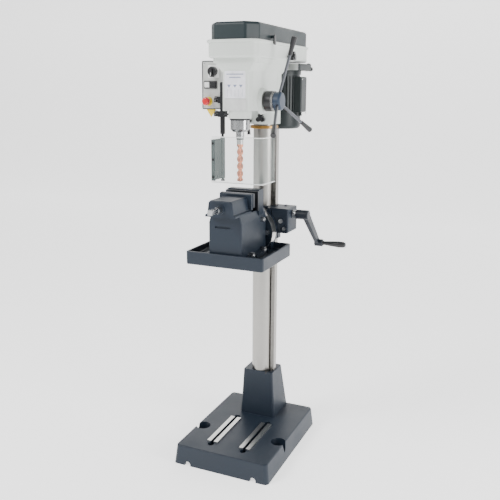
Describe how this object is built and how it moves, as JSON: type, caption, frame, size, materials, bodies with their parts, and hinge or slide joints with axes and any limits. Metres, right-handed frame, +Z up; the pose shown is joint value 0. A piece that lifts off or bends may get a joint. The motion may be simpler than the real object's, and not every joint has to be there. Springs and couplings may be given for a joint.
{
  "type": "drill press",
  "caption": "Floor-standing drill press with a belt-driven head, swing guard, crank-lifted tilting tray table and a drilling vise on a round column.",
  "frame": {"origin": "on the floor under the spindle axis, midway between the base's two anchor holes", "axes": "+Z up, -Y the front where the operator stands, +X the side of the feed handles"},
  "size_m": [0.528, 0.7476, 1.677],
  "materials": {
    "dark_paint": "satin blue-grey paint on cast iron",
    "head_paint": "satin off-white paint on cast iron",
    "cover_paint": "satin dark grey paint on pressed steel",
    "bright_steel": "ground steel",
    "zinc_steel": "zinc-plated steel",
    "handle_steel": "dark satin steel",
    "copper_drill": "copper-coloured coated high-speed steel",
    "brass_ring": "turned brass",
    "pulley_metal": "turned aluminium",
    "belt_rubber": "matt black rubber",
    "motor_paint": "satin dark grey paint",
    "black_plastic": "moulded black plastic",
    "hub_paint": "satin blue-grey",
    "black_paint": "black paint",
    "box_frame": "dark grey moulded plastic",
    "panel_grey": "light grey moulded plastic",
    "trim_mix": "moulded plastic",
    "red_plastic": "glossy red plastic",
    "clear_shield": "clear polycarbonate",
    "shield_plate": "dark grey-green sheet",
    "jaw_steel": "dark ground steel"
  },
  "bodies": {
    "root": {"base_casting": "dark_paint", "column_socket": "dark_paint", "socket_bolts": "zinc_steel", "column": "bright_steel", "column_ring": "brass_ring", "head_casting": "head_paint", "belt_housing": "head_paint", "hinge_pins": "zinc_steel", "return_spring": "bright_steel", "switch_box_shell": "box_frame", "switch_panel": "panel_grey", "control_trim": "trim_mix", "guard_clamp": "black_paint", "drive_belt": "belt_rubber"},
    "cover": {"belt_cover": "cover_paint"},
    "latch": {"cover_latch": "black_plastic"},
    "lock_knob": {"head_lock_knob": "black_plastic"},
    "lock_lever": {"head_lock_lever": "black_plastic"},
    "belt_lock_knob": {"tension_lock_knob": "black_plastic"},
    "belt_screw_knob": {"tension_screw_knob": "black_plastic"},
    "low_clamp_knob": {"lower_clamp_knob": "black_plastic"},
    "high_clamp_knob": {"upper_clamp_knob": "black_plastic"},
    "selector": {"switch_knob": "black_plastic"},
    "start": {"start_button": "panel_grey"},
    "stop": {"stop_button": "black_plastic"},
    "emergency_stop": {"estop_button": "red_plastic"},
    "guard_post": {"guard_bar": "zinc_steel"},
    "guard": {"guard_shield": "clear_shield", "guard_side_plate": "shield_plate", "guard_screws": "black_paint"},
    "quill_body": {"quill": "bright_steel", "quill_bearings": "zinc_steel"},
    "spindle_body": {"spindle": "bright_steel", "drill_bit": "copper_drill"},
    "feed": {"feed_pinion": "zinc_steel", "feed_hub": "hub_paint", "handle_rods": "handle_steel", "handle_grips": "black_plastic", "depth_collar": "black_plastic"},
    "drive_pulley": {"spindle_pulley": "pulley_metal"},
    "motor": {"motor_plate": "motor_paint", "motor_body": "motor_paint", "motor_fan_cowl": "motor_paint", "motor_terminal_box": "motor_paint"},
    "rotor": {"motor_rotor_and_fan": "motor_paint", "motor_pulley": "pulley_metal"},
    "rack_body": {"rack": "bright_steel"},
    "bracket": {"table_bracket": "dark_paint", "bracket_bolts": "zinc_steel"},
    "crank": {"lift_pinion": "zinc_steel", "crank_arm": "dark_paint"},
    "crank_handle": {"crank_grip": "black_plastic"},
    "table": {"table_tray": "dark_paint", "tilt_bolts": "zinc_steel", "vise_body": "dark_paint", "vise_bolts": "zinc_steel", "fixed_jaw_plate": "jaw_steel"},
    "jaw": {"vise_slide": "dark_paint", "moving_jaw_plate": "jaw_steel"},
    "screw": {"vise_screw": "zinc_steel"}
  },
  "joints": [
    {"name": "cover_hinge", "type": "hinge", "parent": "root", "child": "cover", "pos_m": [-0.099, 0.19, 1.6232], "axis": [0, -1, 0], "range_deg": [0, 95]},
    {"name": "latch_pivot", "type": "hinge", "parent": "root", "child": "latch", "pos_m": [0.107, 0.066, 1.613], "axis": [1, 0, 0], "range_deg": [0, 90]},
    {"name": "head_lock_knob_turn", "type": "hinge", "parent": "root", "child": "lock_knob", "pos_m": [0.018, 0.16, 1.341], "axis": [0, 1, 0], "range_deg": [0, 180]},
    {"name": "head_lock_lever_turn", "type": "hinge", "parent": "root", "child": "lock_lever", "pos_m": [-0.034, 0.16, 1.329], "axis": [0, 1, 0], "range_deg": [-45, 45]},
    {"name": "belt_lock_knob_turn", "type": "hinge", "parent": "root", "child": "belt_lock_knob", "pos_m": [0.11, 0.225, 1.571], "axis": [1, 0, 0], "range_deg": [0, 180]},
    {"name": "motor_slide", "type": "slide", "parent": "root", "child": "motor", "axis": [0, 1, 0], "range_m": [-0.012, 0], "deforming": ["drive_belt"]},
    {"name": "belt_screw_knob_turn", "type": "hinge", "parent": "motor", "child": "belt_screw_knob", "pos_m": [0.092, 0.48, 1.537], "axis": [0, 1, 0], "range_deg": [0, 180]},
    {"name": "lower_clamp_knob_turn", "type": "hinge", "parent": "root", "child": "low_clamp_knob", "pos_m": [-0.11, 0.042, 1.358], "axis": [1, 0, 0], "range_deg": [0, 180]},
    {"name": "upper_clamp_knob_turn", "type": "hinge", "parent": "root", "child": "high_clamp_knob", "pos_m": [-0.11, 0.042, 1.41], "axis": [1, 0, 0], "range_deg": [0, 180]},
    {"name": "selector_turn", "type": "hinge", "parent": "root", "child": "selector", "pos_m": [-0.136, 0.05, 1.514], "axis": [0, 1, 0], "range_deg": [-60, 60]},
    {"name": "start_press", "type": "slide", "parent": "root", "child": "start", "axis": [0, 1, 0], "range_m": [0, 0.003], "stiffness_N_per_m": 300, "springref_m": -0.002},
    {"name": "stop_press", "type": "slide", "parent": "root", "child": "stop", "axis": [0, 1, 0], "range_m": [0, 0.003], "stiffness_N_per_m": 300, "springref_m": -0.002},
    {"name": "emergency_stop_press", "type": "slide", "parent": "root", "child": "emergency_stop", "axis": [0, 1, 0], "range_m": [0, 0.006], "stiffness_N_per_m": 400, "springref_m": -0.003},
    {"name": "guard_height", "type": "slide", "parent": "root", "child": "guard_post", "axis": [0, 0, 1], "range_m": [0, 0.06]},
    {"name": "guard_swing", "type": "hinge", "parent": "guard_post", "child": "guard", "pos_m": [-0.092, 0.042, 1.2], "axis": [0, 0, 1], "range_deg": [-100, 0]},
    {"name": "quill_feed", "type": "slide", "parent": "root", "child": "quill_body", "axis": [0, 0, 1], "range_m": [-0.11, 0], "stiffness_N_per_m": 1500, "springref_m": 0.1},
    {"name": "feed_turn", "type": "hinge", "parent": "root", "child": "feed", "pos_m": [0.1, 0.062, 1.407], "axis": [1, 0, 0], "range_deg": [0, 211]},
    {"name": "spindle_spin", "type": "hinge", "parent": "quill_body", "child": "spindle_body", "pos_m": [0, 0, 1.3], "axis": [0, 0, 1], "continuous": true},
    {"name": "pulley_spin", "type": "hinge", "parent": "root", "child": "drive_pulley", "pos_m": [0, 0, 1.6], "axis": [0, 0, 1], "continuous": true},
    {"name": "rotor_spin", "type": "hinge", "parent": "motor", "child": "rotor", "pos_m": [0, 0.405, 1.45], "axis": [0, 0, 1], "continuous": true},
    {"name": "table_swing", "type": "hinge", "parent": "root", "child": "rack_body", "pos_m": [0, 0.23, 0.9], "axis": [0, 0, 1], "range_deg": [-30, 30]},
    {"name": "table_lift", "type": "slide", "parent": "rack_body", "child": "bracket", "axis": [0, 0, 1], "range_m": [-0.5, 0.02]},
    {"name": "crank_turn", "type": "hinge", "parent": "bracket", "child": "crank", "pos_m": [0.17, 0.2, 0.968], "axis": [1, 0, 0], "range_deg": [-77, 1911]},
    {"name": "crank_handle_spin", "type": "hinge", "parent": "crank", "child": "crank_handle", "pos_m": [0.28, 0.318, 0.834], "axis": [1, 0, 0], "continuous": true},
    {"name": "table_tilt", "type": "hinge", "parent": "bracket", "child": "table", "pos_m": [0, 0.12, 0.905], "axis": [0, 1, 0], "range_deg": [-45, 45]},
    {"name": "jaw_slide", "type": "slide", "parent": "table", "child": "jaw", "axis": [0, 1, 0], "range_m": [-0.06, 0.029]},
    {"name": "vise_screw_turn", "type": "hinge", "parent": "jaw", "child": "screw", "pos_m": [0, -0.2, 1.033], "axis": [0, 1, 0], "range_deg": [-3601, 1741]}
  ],
  "couplings": [
    {"joint": "feed_turn", "follows": "quill_feed", "rad_per_m": -33.333},
    {"joint": "pulley_spin", "follows": "spindle_spin", "ratio": 1},
    {"joint": "rotor_spin", "follows": "spindle_spin", "ratio": 2.037},
    {"joint": "crank_turn", "follows": "table_lift", "rad_per_m": -66.667},
    {"joint": "vise_screw_turn", "follows": "jaw_slide", "rad_per_m": 1047.2}
  ]
}
